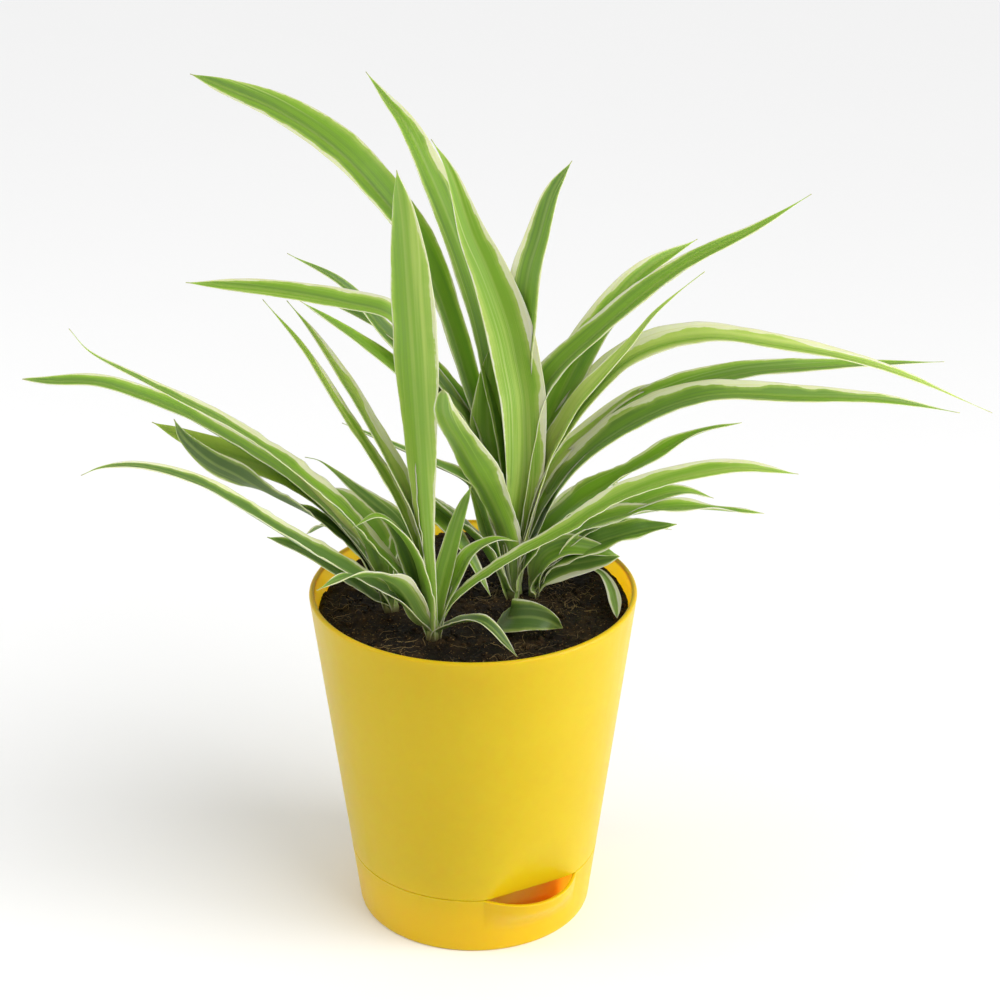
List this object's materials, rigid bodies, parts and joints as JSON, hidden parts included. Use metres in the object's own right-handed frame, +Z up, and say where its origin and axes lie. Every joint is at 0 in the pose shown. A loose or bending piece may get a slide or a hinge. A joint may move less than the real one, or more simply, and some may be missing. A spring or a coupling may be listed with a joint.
{
  "type": "potted spider plant",
  "caption": "Striped spider plant with several crowns of long arching leaves in a round self-watering pot with a side filling mouth.",
  "frame": {"origin": "centre of the pot's flat underside, on the surface it stands on", "axes": "+Z up along the pot's axis; -Y towards the camera side; +X to the right as seen from there"},
  "size_m": [0.3476, 0.1528, 0.3024],
  "materials": {
    "pot": "yellow moulded plastic, satin with a faint sheen",
    "reservoir": "yellow moulded plastic, satin with a faint sheen",
    "wick": "braided undyed cotton",
    "soil": "dark moist potting soil with pale fibres",
    "leaf": "green leaf blades with cream margins and a lighter midrib"
  },
  "bodies": {
    "root": {"pot_shell": "pot", "reservoir_base": "reservoir", "wick": "wick", "soil": "soil", "plant_front_left": "leaf", "plant_back_left": "leaf", "plant_main": "leaf", "plant_small_right": "leaf"}
  },
  "joints": []
}
